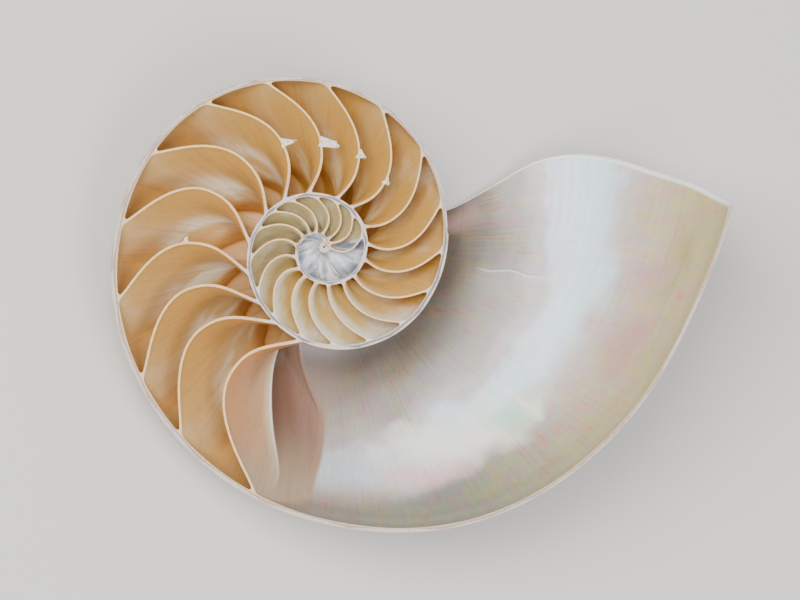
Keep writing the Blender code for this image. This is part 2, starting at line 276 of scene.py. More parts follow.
def septum_turn(index, elevation, inward):
    """Growth angle of a chamber wall's middle surface."""
    turn, twist, bow = SEPTA[index]
    shape = 1 - np.abs(2 * inward**BOW_LEAN - 1) ** BOW_ROUNDNESS
    fade = np.maximum(0.0, 1 - (elevation / BOW_END) ** 2)
    suture = curve(SUTURE, elevation) * (1 - inward * (1 - DORSAL_SUTURE_SHARE))
    return turn + twist * inward + suture - bow * shape * fade


def half_septum(index, elevation, inward):
    """Half the thickness of a chamber wall, in degrees of growth."""
    low, high = np.maximum(inward - 0.02, 0.0), np.minimum(inward + 0.02, 1.0)
    here = septum_turn(index, elevation, inward)
    run = np.linalg.norm(inside(elevation, high, here) - inside(elevation, low, here), axis=-1)
    turned = np.radians(septum_turn(index, elevation, high) - septum_turn(index, elevation, low))
    point = inside(elevation, inward, here)
    axis_distance = np.maximum(np.hypot(point[..., 0], point[..., 1]), 0.2)
    steepness = np.sqrt(1 / axis_distance**2 + (turned / run) ** 2)
    half = np.degrees(0.5 * curve(SEPTUM_THICK, SEPTA[index][0]) * steepness)
    older = SEPTA[index + 1][0] if index + 1 < len(SEPTA) else FIRST_CHAMBER_START
    return np.minimum(half, THICKEST_SHARE * (SEPTA[index][0] - older))


def round_ring(share, corner_in, corner_on, side_share):
    """Inward and onward place, 0 to 1, at a share of the way round a rectangle with round corners.

    side_share is the part of the ring's points that the two sides along the coil take.
    """
    corner_share = 0.05
    end_span = 0.5 - side_share / 2 - 2 * corner_share
    spans = np.array([side_share / 2, corner_share, end_span, corner_share])
    edges = np.concatenate([[0], np.cumsum(np.tile(spans, 2))])
    leg = np.clip(np.searchsorted(edges, share % 1.0, side="right") - 1, 0, 7)
    u = (share % 1.0 - edges[leg]) / (edges[leg + 1] - edges[leg])
    far, near = leg % 4, leg >= 4
    bend = np.radians(90 * u)
    leaving, arriving = 1 - np.cos(bend), 1 - np.sin(bend)
    onward = np.choose(far, [
        corner_on + (1 - 2 * corner_on) * u, 1 - corner_on * arriving,
        1.0 + 0 * u, 1 - corner_on * leaving,
    ])
    inward = np.choose(far, [
        0.0 * u, corner_in * leaving,
        corner_in + (1 - 2 * corner_in) * u, 1 - corner_in * arriving,
    ])
    return np.where(near, 1 - inward, inward), np.where(near, 1 - onward, onward)


def core(name, segments, rows, side_share, lengths, thickness, back_at, front_at):
    """A ball drawn out to fill a hollow whose ends lie at back_at and front_at."""
    closing = [0.0, 0.12, 0.3, 0.5, 0.7, 0.87, 1.0]
    top, last_row = len(closing) - 1, len(closing) + 1 + len(rows)
    ring_count = last_row + len(closing) - 1
    bpy.ops.mesh.primitive_uv_sphere_add(segments=segments, ring_count=ring_count, radius=1)
    made = bpy.context.object
    made.name = name
    ball = read_points(made)
    ring = np.rint(np.degrees(np.arccos(np.clip(ball[:, 2], -1, 1))) * ring_count / 180).astype(int)
    share = np.arctan2(ball[:, 1], ball[:, 0]) / (2 * math.pi)
    shrink = np.concatenate([closing, np.ones(len(rows) + 2), closing[-2::-1]])[ring]
    floor_rows = rows[-1] + FLOOR_DIP * np.sqrt(1 - np.array(closing[-2::-1]) ** 2)
    elevation = np.concatenate([np.zeros(top + 3), rows, floor_rows])[ring]
    ease = EASE_SHARE * thickness
    flare = np.where(ring <= top + 1, ease * np.minimum(shrink * 2, 1), 0.0)
    inward, onward = round_ring(share, CORNER / lengths[0], CORNER / lengths[1], side_share)
    inward = 0.5 + (inward - 0.5) * (shrink + 2 * flare / lengths[0])
    onward = 0.5 + (onward - 0.5) * (shrink + 2 * flare / lengths[1])
    within = np.clip(inward, 0, 1)
    back, front = back_at(elevation, within), front_at(elevation, within)
    points = inside(elevation, inward, back + (front - back) * onward)
    first_row = inside(np.full(len(share), rows[0]), inward, back + (front - back) * onward)[:, 2]
    points[ring <= top, 2] = CORE_TOP
    points[ring == top + 1, 2] = ABOVE_SAW
    points[ring == top + 2, 2] = np.maximum(-ease, 0.5 * first_row[ring == top + 2])
    set_points(made, points * MM)
    face_out(made)
    return made


def back_of(index):
    """Growth angle of a chamber wall's older side, for the front of the chamber behind it."""
    return lambda elevation, inward: (
        septum_turn(index, elevation, inward) - half_septum(index, elevation, inward)
    )


def front_of(index):
    """Growth angle of a chamber wall's newer side, for the back of the chamber before it."""
    return lambda elevation, inward: (
        septum_turn(index, elevation, inward) + half_septum(index, elevation, inward)
    )


def chamber_size(turn, pitch):
    """Length across a whorl's hollow and along it, in the sawn plane."""
    outer, inner = hollow_sides(np.array(0.0), turn)
    return float(outer - inner), float(math.radians(pitch) * 0.5 * (outer + inner))


cores = []
body_rows = np.concatenate([np.arange(1.2, 46, 1.5), np.linspace(47.5, BODY_END, 12)])
cores.append(core(
    "body_chamber", 300, body_rows, 0.66, (chamber_size(1030, 1)[0], 170.0), SEPTUM_THICK[-1][1],
    front_of(0), lambda elevation, inward: LIP + curve(LIP_LEAD, elevation) + PAST_LIP,
))
for index, (turn, _, _) in enumerate(SEPTA):
    oldest = index + 1 == len(SEPTA)
    pitch = turn - (FIRST_CHAMBER_START if oldest else SEPTA[index + 1][0])
    size = chamber_size(turn - pitch / 2, pitch)
    row_steps, segments = (20, 72) if turn > FINE_FROM else (12, 48)
    rows = np.concatenate([np.linspace(1.6, 44, row_steps), np.linspace(47, CHAMBER_END, 5)])
    lengths = (max(size[0], 4 * CORNER), max(size[1], 3.2 * CORNER))
    start = front_of(index + 1)
    if oldest:
        start = lambda elevation, inward: FIRST_CHAMBER_START + 0 * inward
    cores.append(core(
        f"chamber_{index + 1:02d}", segments, rows, 0.30, lengths,
        float(curve(SEPTUM_THICK, turn)), start, back_of(index),
    ))

take_up(cores[0])
for made in cores:
    made.select_set(True)
bpy.ops.object.join()
hollows = bpy.context.object


# The middle of the coil. The oldest chamber walls are broken down below the saw, so the first whorl
# is an open bowl, and a pinhole runs down the axis that the coil turns around.
BROKEN_FROM, MIDDLE_END, LAST_WHOLE = 118.0, 372.0, 27
BROKEN_ROWS = np.linspace(2.5, 38.0, 8)
PINHOLE_RADIUS, PINHOLE_DEPTH = 0.35, 1.6
middle_size = chamber_size(240.0, SEPTA[LAST_WHOLE][0] - BROKEN_FROM)
bowl = core(
    "broken_middle", 200, BROKEN_ROWS, 0.7, middle_size, 0.35,
    lambda elevation, inward: BROKEN_FROM + 0 * inward, back_of(LAST_WHOLE),
)
bpy.ops.mesh.primitive_cylinder_add(
    vertices=20, radius=PINHOLE_RADIUS * MM, depth=2 * PINHOLE_DEPTH * MM, location=(0, 0, 0)
)
pinhole = bpy.context.object


# Surface finish: every point of the shell gets its place in the growth, so that the colours can
# follow the growth lines, the chambers and the thickness of the wall.
# The settings that come most often.
TIMES, PLUS, LESS = {"operation": "MULTIPLY"}, {"operation": "ADD"}, {"operation": "SUBTRACT"}
SOFT, COLOURS = {"interpolation_type": "SMOOTHSTEP"}, {"data_type": "RGBA"}


def srgb(code):
    """Linear colour from a hex code in sRGB."""
    parts = [int(code[i:i + 2], 16) / 255 for i in (1, 3, 5)]
    return tuple(p / 12.92 if p <= 0.04045 else ((p + 0.055) / 1.055) ** 2.4 for p in parts) + (1.0,)


def add_node(tree, kind, *terms, output="", stops=(), **settings):
    """Add one shader node and give back one of its outputs, the first unless it is named.

    The terms fill its inputs in order: a number, a hex colour, another node's output, or None.
    """
    made = tree.nodes.new("ShaderNode" + kind)
    for name, value in settings.items():
        setattr(made, name, value)
    for socket, term in zip([s for s in made.inputs if s.enabled], terms):
        if isinstance(term, bpy.types.NodeSocket):
            tree.links.new(term, socket)
        elif term is not None:
            socket.default_value = srgb(term) if isinstance(term, str) else term
    if stops:
        made.color_ramp.interpolation = "EASE"
        while len(made.color_ramp.elements) < len(stops):
            made.color_ramp.elements.new(1.0)
        for element, (place_at, colour) in zip(made.color_ramp.elements, stops):
            element.position = place_at
            element.color = srgb(colour)
    shown = [s for s in made.outputs if s.enabled]
    return next((s for s in shown if s.name == output), shown[0])


def start_material(name):
    """A new material, its tree and shader, and the shell's own coordinates."""
    made = bpy.data.materials.new(name)
    made.use_nodes = True
    tree = made.node_tree
    return made, tree, tree.nodes["Principled BSDF"], add_node(tree, "TexCoord", output="Object")


def growth_lines(tree, per_mm, per_degree):
    """Noise drawn out over the growth, as steps per millimetre of growth and degree of elevation."""
    steps = []
    for name, scale in (("arc", per_mm), ("elevation", per_degree)):
        value = add_node(tree, "Attribute", output="Fac", attribute_name=name)
        steps.append(add_node(tree, "Math", value, scale, **TIMES))
    return add_node(tree, "TexNoise", add_node(tree, "CombineXYZ", *steps), 1.0, 2.0)


def belt(tree, value, start, full, fading, end):
    """1 within a belt of the shell from full to fading, and 0 before its start and past its end."""
    rising = add_node(tree, "MapRange", value, start, full, **SOFT)
    falling = add_node(tree, "MapRange", value, fading, end, 1.0, 0.0, **SOFT)
    return add_node(tree, "Math", rising, falling, **TIMES)


def pearl_patch_and_highlight(tree, here, turn_at, elevation_at, turn_reach, elevation_reach, strength):
    """A soft, ragged oval at a place in the growth, as far as the reach in degrees each way."""
    ragged = add_node(tree, "Math", add_node(tree, "TexNoise", here, 1 / (9 * MM), 1.0), 0.5, **LESS)
    ragged = add_node(tree, "Math", ragged, 1.4, **TIMES)
    squares = []
    for name, at, reach, pull in (
        ("turn", turn_at, turn_reach, PLUS), ("elevation", elevation_at, elevation_reach, LESS),
    ):
        value = add_node(tree, "Attribute", output="Fac", attribute_name=name)
        off = add_node(tree, "Math", value, at, **LESS)
        off = add_node(tree, "Math", off, reach, operation="DIVIDE")
        off = add_node(tree, "Math", off, ragged, **pull)
        squares.append(add_node(tree, "Math", off, off, **TIMES))
    away = add_node(tree, "Math", add_node(tree, "Math", *squares, **PLUS), operation="SQRT")
    return add_node(tree, "MapRange", away, 0.0, 1.3, strength, 0.0, **SOFT)


# Nacre: flat plates of aragonite laid by the animal, left as grown. They give a satin gloss with soft
# pearl colours: tan to orange in the closed chambers, olive and gold in the second whorl, silver in
# the middle, and silver-white in the body chamber, with painted highlights and painted shade laid over
# them. The growth lines are drawn coarse enough to show.
nacre, tree, shader, here = start_material("nacre_lining")
elevation_here, turn_here, along_here, fold_here, band_here = [
    add_node(tree, "Attribute", output="Fac", attribute_name=name)
    for name in ("elevation", "turn", "along", "fold", "band")
]
inward_here, body_here, stub_here, lip_here = [
    add_node(tree, "Attribute", output="Fac", attribute_name=name)
    for name in ("inward", "body", "stub", "to_lip")
]
broad = add_node(tree, "TexNoise", here, 1 / (16 * MM), 3.0)
fine = add_node(tree, "TexNoise", here, 1 / (5 * MM), 3.0)
tiny = add_node(tree, "TexNoise", here, 1 / (1.6 * MM), 3.0)
wander = add_node(tree, "Math", add_node(tree, "Math", broad, 0.5, **LESS), 11.0, **TIMES)
wandered = add_node(tree, "MapRange", add_node(tree, "Math", elevation_here, wander, **PLUS), 0.0, 90.0)
lines = growth_lines(tree, 1.2, 0.05)
wide_lines = growth_lines(tree, 0.35, 0.04)
spiral_lines = growth_lines(tree, 0.015, 1.5)
pearl = add_node(tree, "ValToRGB", add_node(tree, "Mix", 0.45, fine, wide_lines), stops=[
    (0.32, "#E08CAE"), (0.40, "#EBC6D6"), (0.46, "#C6D0F2"), (0.52, "#B8ECD6"), (0.58, "#F0E6BC"),
    (0.68, "#DC8FB2"),
])

# The body chamber: a blue-white painted highlight band along the shoulder, beige towards the rim, and
# brown in its depth, partly its own colour and partly painted shade under the inner whorl.
band_place = add_node(tree, "Math", band_here, wander, **PLUS)
body_colour = add_node(tree, "ValToRGB", add_node(tree, "MapRange", band_place, -25.0, 45.0), stops=[
    (0.0, "#B9A274"), (0.13, "#C4AE7E"), (0.21, "#CAB292"), (0.28, "#CCB6AC"), (0.357, "#D8F0FF"),
    (0.40, "#DAE2F4"), (0.445, "#BAB0AE"), (0.50, "#9C8E87"), (0.59, "#7B6858"), (0.67, "#584534"),
    (0.786, "#3E2F23"), (1.0, "#35281E"),
])
low_half = add_node(tree, "MapRange", turn_here, 1012.0, 1056.0, 1.0, 0.0, **SOFT)
by_rim = add_node(tree, "MapRange", band_here, -8.0, -2.0, 0.9, 0.0, **SOFT)
low_rim = add_node(tree, "Math", low_half, by_rim, **TIMES)
body_colour = add_node(tree, "Mix", low_rim, body_colour, "#7C7B6D", **COLOURS)
body_colour = add_node(tree, "Mix", 0.55, body_colour, pearl, blend_type="SOFT_LIGHT", **COLOURS)
# Brown-grey towards the newest chamber wall, partly its own colour and partly painted shade in that
# corner.
shade_near_back = add_node(tree, "MapRange", along_here, 0.03, 0.36, 0.5, 0.0, **SOFT)
body_colour = add_node(tree, "Mix", shade_near_back, body_colour, "#9C8878", **COLOURS)
# Its pearly spots, partly painted highlights and partly patches of pearl colour: growth angle and
# elevation, the reach of each, strength and colour.
for turn_at, elevation_at, turn_reach, elevation_reach, strength, colour in (
    (1024.0, 21.0, 22.0, 5.0, 1.0, "#FFFFF4"), (1013.0, 17.0, 12.0, 3.4, 0.85, "#F4C2C8"),
    (1037.0, 21.0, 5.0, 3.4, 0.7, "#A8E8C4"), (1041.5, 20.0, 1.6, 3.4, 0.9, "#FFFDE2"),
    (1061.0, 14.0, 9.0, 4.5, 0.55, "#CB8C98"), (1075.0, 15.0, 4.5, 3.6, 0.55, "#CF8FA0"),
    (1079.0, 11.5, 9.0, 3.0, 0.7, "#AFA468"), (1091.0, 46.0, 5.0, 5.0, 0.55, "#C99A92"),
):
    light = pearl_patch_and_highlight(tree, here, turn_at, elevation_at, turn_reach, elevation_reach, strength)
    body_colour = add_node(tree, "Mix", light, body_colour, colour, **COLOURS)

# The scar: a short wavy ridge across the growth lines, on the deep side of the body chamber.
wave = add_node(tree, "Math", add_node(tree, "Math", elevation_here, 0.95, **TIMES), operation="SINE")
scar_turn = add_node(tree, "Math", wave, 0.45, 1072.4, operation="MULTIPLY_ADD")
scar_off = add_node(tree, "Math", turn_here, scar_turn, **LESS)
scar_off = add_node(tree, "Math", scar_off, operation="ABSOLUTE")
scar = add_node(tree, "MapRange", scar_off, 0.1, 0.75, 1.0, 0.0, **SOFT)
scar = add_node(tree, "Math", scar, belt(tree, elevation_here, 29.0, 32.0, 37.0, 41.0), **TIMES)
# Its pale line along the ridge is a painted highlight.
scar_highlight = add_node(tree, "Math", scar, 0.55, **TIMES)
body_colour = add_node(tree, "Mix", scar_highlight, body_colour, "#F4F1EE", **COLOURS)

# The newest chamber wall: tan, with a painted highlight as a bright line along its fold, and a brown
# face past it, darkest next to the line with painted shade.
newest_face = add_node(tree, "ValToRGB", add_node(tree, "MapRange", fold_here, -30.0, 30.0), stops=[
    (0.05, "#CB8444"), (0.25, "#C48A5A"), (0.42, "#C99A70"), (0.475, "#DABF9C"), (0.493, "#F6F6E2"),
    (0.503, "#5A3622"), (0.60, "#704A36"), (0.75, "#8E6856"), (0.9, "#9C7864"),
])
by_wall = add_node(tree, "MapRange", inward_here, 0.02, 0.3, 1.0, 0.0, **SOFT)
near_saw = add_node(tree, "MapRange", elevation_here, 10.0, 24.0, 1.0, 0.0, **SOFT)
faded = add_node(tree, "Math", by_wall, near_saw, **TIMES)
newest_face = add_node(tree, "Mix", faded, newest_face, "#AE967A", **COLOURS)
on_newest = add_node(tree, "MapRange", along_here, 0.018, 0.03, 1.0, 0.0, **SOFT)
body_colour = add_node(tree, "Mix", on_newest, body_colour, newest_face, **COLOURS)

# The closed chambers: tan, deeper gold below, with painted pearly highlights along the fold of each
# chamber wall.
chamber_colour = add_node(tree, "ValToRGB", wandered, stops=[
    (0.0, "#DEB478"), (0.12, "#DCB072"), (0.26, "#DDB984"), (0.36, "#E2C298"), (0.46, "#F0BC74"),
    (0.7, "#F0AE5C"),
])
fold_place = add_node(tree, "MapRange", add_node(tree, "Math", fold_here, wander, **PLUS), -30.0, 30.0)
front_face = add_node(tree, "ValToRGB", fold_place, stops=[
    (0.05, "#CF9248"), (0.25, "#DCA65A"), (0.38, "#E2B472"), (0.46, "#E3C08E"), (0.53, "#DFB884"),
    (0.66, "#E6B068"), (0.85, "#EDAE60"),
])
on_face = add_node(tree, "MapRange", along_here, 0.12, 0.30, 0.85, 0.0, **SOFT)
chamber_colour = add_node(tree, "Mix", on_face, chamber_colour, front_face, **COLOURS)
# Painted highlights: pale streaks where the fold of a chamber wall crosses the shoulder.
painted_glints = add_node(tree, "MapRange", growth_lines(tree, 0.085, 0.11), 0.40, 0.56, 0.0, 1.05, **SOFT)
for part in (
    belt(tree, fold_place, 0.32, 0.46, 0.54, 0.68), belt(tree, elevation_here, 10.0, 20.0, 30.0, 40.0),
    add_node(tree, "Math", lines, 0.35, **PLUS),
):
    painted_glints = add_node(tree, "Math", painted_glints, part, **TIMES)
chamber_colour = add_node(tree, "Mix", painted_glints, chamber_colour, "#FFFBEA", **COLOURS)
older_gold = add_node(tree, "MapRange", turn_here, 790.0, 905.0, 0.65, 0.0, **SOFT)
chamber_colour = add_node(tree, "Mix", older_gold, chamber_colour, "#CF9E4A", **COLOURS)
chamber_colour = add_node(tree, "Mix", 0.14, chamber_colour, pearl, blend_type="SOFT_LIGHT", **COLOURS)
chamber_colour = add_node(tree, "Mix", 1.0, chamber_colour, "#F4EFE4", blend_type="MULTIPLY", **COLOURS)

# The second whorl: olive in its first half and golden in its second, with pale patches of painted
# reflection, and pale in some outer corners.
second_cool = add_node(tree, "ValToRGB", wandered, stops=[
    (0.0, "#B39D6C"), (0.2, "#BCA878"), (0.45, "#CBBA92"), (0.7, "#A08C5E"),
])
second_warm = add_node(tree, "ValToRGB", wandered, stops=[
    (0.0, "#EFE8D8"), (0.08, "#DABA72"), (0.3, "#E0B65A"), (0.6, "#D0A044"),
])
warmth = add_node(tree, "MapRange", turn_here, 540.0, 600.0, **SOFT)
second_colour = add_node(tree, "Mix", warmth, second_cool, second_warm, **COLOURS)
# Pale patches of painted reflection.
painted_sheen = add_node(tree, "MapRange", fine, 0.46, 0.70, 0.0, 0.5, **SOFT)
second_colour = add_node(tree, "Mix", painted_sheen, second_colour, "#D6D4BC", **COLOURS)
in_chambers = add_node(tree, "MapRange", turn_here, 630.0, 700.0, **SOFT)
colour = add_node(tree, "Mix", in_chambers, second_colour, chamber_colour, **COLOURS)
pale_corner = add_node(tree, "MapRange", inward_here, 0.06, 0.36, 0.6, 0.0, **SOFT)
for part in (
    add_node(tree, "MapRange", broad, 0.44, 0.60, **SOFT),
    belt(tree, turn_here, 520.0, 580.0, 730.0, 800.0),
):
    pale_corner = add_node(tree, "Math", pale_corner, part, **TIMES)
colour = add_node(tree, "Mix", pale_corner, colour, "#E6E3D8", **COLOURS)

# The middle: silver, rayed out from the axis in dark and bright streaks of painted shade and highlight,
# with the low stubs of the broken chamber walls on it.
middle_colour = add_node(tree, "ValToRGB", wandered, stops=[
    (0.0, "#6C6A72"), (0.25, "#A2A2AC"), (0.45, "#D6D6DA"), (0.7, "#6C6972"),
])
shade_and_highlight_rays = add_node(tree, "ValToRGB", growth_lines(tree, 0.3, 0.03), stops=[
    (0.38, "#5C5A63"), (0.48, "#9C9CA6"), (0.56, "#F2F4FA"),
])
middle_colour = add_node(tree, "Mix", 0.5, middle_colour, shade_and_highlight_rays, **COLOURS)
middle_colour = add_node(tree, "Mix", 0.3, middle_colour, pearl, blend_type="SOFT_LIGHT", **COLOURS)
# Painted shade at the feet of the stubs and painted highlight on their tops.
shaded_stub_foot = add_node(tree, "MapRange", stub_here, 0.05, 0.5, 0.0, 0.7, **SOFT)
middle_colour = add_node(tree, "Mix", shaded_stub_foot, middle_colour, "#6F6B74", **COLOURS)
lit_stub_top = add_node(tree, "MapRange", stub_here, 0.55, 1.0, 0.0, 0.8, **SOFT)
middle_colour = add_node(tree, "Mix", lit_stub_top, middle_colour, "#E3DCD2", **COLOURS)
past_middle = add_node(tree, "MapRange", turn_here, MIDDLE_END, MIDDLE_END + 6.0, **SOFT)
colour = add_node(tree, "Mix", past_middle, middle_colour, colour, **COLOURS)

# All of it: growth lines, which turn to run with the spiral near the lip, and the white lip itself.
colour = add_node(tree, "Mix", body_here, colour, body_colour, **COLOURS)
near_lip = add_node(tree, "MapRange", turn_here, 1040.0, 1075.0, **SOFT)
striae = add_node(tree, "Mix", near_lip, lines, spiral_lines)
shade = add_node(tree, "ValToRGB", add_node(tree, "Mix", 0.35, striae, tiny), stops=[
    (0.3, "#D2D0CE"), (0.5, "#F2F1F0"), (0.68, "#FFFFFF"),
])
colour = add_node(tree, "Mix", 0.5, colour, shade, blend_type="MULTIPLY", **COLOURS)
at_lip = add_node(tree, "MapRange", lip_here, 0.1, 0.55, 0.8, 0.0, **SOFT)
colour = add_node(tree, "Mix", at_lip, colour, "#FFFFFA", **COLOURS)
tree.links.new(colour, shader.inputs["Base Color"])
shader.inputs["Roughness"].default_value = 0.30
shader.inputs["Specular IOR Level"].default_value = 0.6
shader.inputs["Coat Weight"].default_value = 0.25
shader.inputs["Coat Roughness"].default_value = 0.22
height = stub_here
for layer, amount in ((scar, 2.5), (striae, 0.3), (wide_lines, 0.8)):
    height = add_node(tree, "Math", layer, amount, height, operation="MULTIPLY_ADD")
relief = add_node(tree, "Bump", 0.35, 0.25 * MM, None, height)
tree.links.new(relief, shader.inputs["Normal"])

# Porcelain: the chalky outer layer, as grown. It is cream with a soft sheen and fine growth lines, and
# the older part carries reddish-brown flames 15 degrees apart.
porcelain, tree, shader, here = start_material("porcelain_outside")
outer_turn, outer_elevation, lip_here = [
    add_node(tree, "Attribute", output="Fac", attribute_name=name)
    for name in ("outer_turn", "elevation", "to_lip")
]
drift = add_node(tree, "Math", add_node(tree, "TexNoise", here, 1 / (14 * MM), 3.0), 0.5, **LESS)
slant = add_node(tree, "Math", outer_elevation, 0.35, outer_turn, operation="MULTIPLY_ADD")
flame_turn = add_node(tree, "Math", drift, 34.0, slant, operation="MULTIPLY_ADD")
wave = add_node(tree, "Math", flame_turn, math.radians(360 / 15), **TIMES)
wave = add_node(tree, "Math", wave, operation="SINE")
ragged = add_node(tree, "TexNoise", here, 1 / (4 * MM), 3.0)
ragged_wave = add_node(tree, "Math", ragged, 0.8, wave, operation="MULTIPLY_ADD")
flames = add_node(tree, "MapRange", ragged_wave, 0.45, 0.75, **SOFT)
older = add_node(tree, "MapRange", outer_turn, 900.0, 985.0, 1.0, 0.0, **SOFT)
off_middle = add_node(tree, "MapRange", outer_elevation, 46.0, 60.0, 1.0, 0.0, **SOFT)
for part in (older, off_middle):
    flames = add_node(tree, "Math", flames, part, **TIMES)
cream = add_node(tree, "ValToRGB", add_node(tree, "TexNoise", here, 1 / (9 * MM), 3.0), stops=[
    (0.3, "#DCCDB2"), (0.55, "#E8DCC6"), (0.75, "#EFE6D6"),
])
russet = add_node(tree, "ValToRGB", add_node(tree, "TexNoise", here, 1 / (3 * MM), 3.0), stops=[
    (0.3, "#642408"), (0.6, "#8C3A14"), (0.8, "#A04E22"),
])
colour = add_node(tree, "Mix", flames, cream, russet, **COLOURS)
at_lip = add_node(tree, "MapRange", lip_here, 0.1, 0.55, 1.0, 0.0, **SOFT)
colour = add_node(tree, "Mix", at_lip, colour, "#FFFFFA", **COLOURS)
tree.links.new(colour, shader.inputs["Base Color"])
shader.inputs["Roughness"].default_value = 0.42
relief = add_node(tree, "Bump", 0.3, 0.2 * MM, None, growth_lines(tree, 1.2, 0.04))
tree.links.new(relief, shader.inputs["Normal"])

# Sawn edge: the thickness of the walls, cut and ground flat, so it is matt. The outer wall shows its
# layers in pinkish grey, the wall of the second whorl in grey, and the chamber walls are cream.
sawn, tree, shader, here = start_material("sawn_edge")
across_here, turn_here, wall_turn, on_septum, inward_here = [
    add_node(tree, "Attribute", output="Fac", attribute_name=name)
    for name in ("across", "turn", "wall_turn", "on_septum", "inward")
]
layer_place = add_node(
    tree, "CombineXYZ", add_node(tree, "Math", across_here, 7.0, **TIMES),
    add_node(tree, "Math", turn_here, 0.02, **TIMES),
)
layers = add_node(tree, "Math", add_node(tree, "TexNoise", layer_place, 1.0, 2.0), 0.5, **LESS)
layered = add_node(tree, "Math", layers, 0.3, across_here, operation="MULTIPLY_ADD")
outer_edge = add_node(tree, "ValToRGB", layered, stops=[
    (0.0, "#DCCABE"), (0.18, "#A88E82"), (0.35, "#CCB3A5"), (0.6, "#AA8E80"), (0.8, "#D6BDA6"),
    (1.0, "#ECD4AE"),
])
inner_edge = add_node(tree, "ValToRGB", layered, stops=[
    (0.0, "#E3D2C6"), (0.22, "#A3989A"), (0.45, "#7D7880"), (0.7, "#9A9094"), (1.0, "#E9DCCB"),
])
outer_wall = add_node(tree, "MapRange", wall_turn, 720.0, 740.0, **SOFT)
edge = add_node(tree, "Mix", outer_wall, inner_edge, outer_edge, **COLOURS)
septum_edge = add_node(tree, "ValToRGB", inward_here, stops=[
    (0.0, "#F8D096"), (0.7, "#F8CE92"), (0.95, "#F0BC90"),
])
between_walls = add_node(tree, "MapRange", on_septum, 0.25, 0.75, **SOFT)
edge = add_node(tree, "Mix", between_walls, edge, septum_edge, **COLOURS)
speckle = add_node(tree, "ValToRGB", add_node(tree, "TexNoise", here, 1 / (0.8 * MM), 3.0), stops=[
    (0.3, "#DAD6D2"), (0.5, "#F6F6F6"), (0.7, "#FFFFFF"),
])
edge = add_node(tree, "Mix", 0.7, edge, speckle, blend_type="MULTIPLY", **COLOURS)
tree.links.new(edge, shader.inputs["Base Color"])
shader.inputs["Roughness"].default_value = 0.65
shader.inputs["Specular IOR Level"].default_value = 0.25

# The cut: every hollow is taken out of the whorl, and then all that stands above the sawn plane. The
# faces that each tool leaves behind bring the tool's finish with them.
SAW_BLOCK = 0.4
bpy.ops.mesh.primitive_cube_add(size=SAW_BLOCK, location=(0, 0, SAW_BLOCK / 2 - SAW_KERF * MM))
saw = bpy.context.object
bpy.ops.object.transform_apply(location=True, rotation=False, scale=False)
for made, index in ((whorl, 0), (hollows, 1), (bowl, 1), (pinhole, 1), (saw, 2)):
    for finish in (porcelain, nacre, sawn):
        made.data.materials.append(finish)
    made.data.polygons.foreach_set("material_index", [index] * len(made.data.polygons))


def boolean(made, tool, operation):
    """Apply an exact Boolean and remove the tool."""
    take_up(made)
    modifier = made.modifiers.new(operation.lower(), "BOOLEAN")
    modifier.object = tool
    modifier.operation = operation
    modifier.solver = "EXACT"
    bpy.ops.object.modifier_apply(modifier=modifier.name)
    bpy.data.objects.remove(tool)


for tool in (hollows, bowl, pinhole, saw):
    boolean(whorl, tool, "DIFFERENCE")


# The place in the growth of every point: which whorl and chamber it lies in, and how far along them.
# Where the painted highlight band of the body chamber runs: growth angle against elevation, in degrees.
PAINTED_HIGHLIGHT_BAND = [(960, 14), (985, 15.5), (1009, 19), (1024, 23), (1061, 24), (1098, 27)]
BROKEN_STUBS = [(277.0, -2.4), (225.0, -4.0), (164.0, -3.7), (130.0, -5.0)]
FOLD_DEPTH, FOLD_RATE, NEAR_WALL = 27, 3.6, 0.04
points = read_points(whorl) / MM
flat = np.hypot(points[:, 0], points[:, 1])
elevation = np.clip(np.degrees(np.arctan2(-points[:, 2], flat)), 0, 89.5)
scale = np.hypot(flat, points[:, 2]) / np.hypot(*section(elevation))
angle = np.degrees(np.arctan2(points[:, 1], points[:, 0]))
turn = angle + 1080
for lap in (720, 360, 0):
    holds = between(elevation, angle + lap) >= scale - np.minimum(0.1, 0.01 * wall_radius(angle + lap))
    turn = np.where(holds & (angle + lap > 90), angle + lap, turn)
outer_side, inner_side = hollow_sides(elevation, turn)
inward = np.clip((outer_side - scale) / (outer_side - inner_side), 0, 1)
lip_turn = LIP + curve(LIP_LEAD, elevation)
septum_turns = [septum_turn(index, elevation, inward) for index in range(len(SEPTA))]
walls = np.array([lip_turn] + septum_turns + [np.full(len(turn), FIRST_CHAMBER_START)])
newer = np.clip((walls > turn).sum(axis=0) - 1, 0, len(walls) - 2)
everywhere = np.arange(len(turn))
older_turn, newer_turn = walls[newer + 1, everywhere], walls[newer, everywhere]
along = np.clip((turn - older_turn) / (newer_turn - older_turn), 0, 1)
outer_turn = lip_turn + 0.5 - np.mod(lip_turn + 0.5 - angle, 360)
grown_steps = np.arange(0, 1140, 5.0)
arc_length = np.cumsum(wall_radius(grown_steps)) * math.radians(5.0)
outermost = (scale > between(elevation, turn) - 0.5 * curve(WALL, turn)) | (turn > LIP + 30)
stub = np.zeros(len(turn))
for start, lag in BROKEN_STUBS:
    off_stub = (angle - start + lag * flat + 180) % 360 - 180
    stub += (turn < MIDDLE_END) * np.exp(-(off_stub * (flat + 1.5) / 30) ** 2)
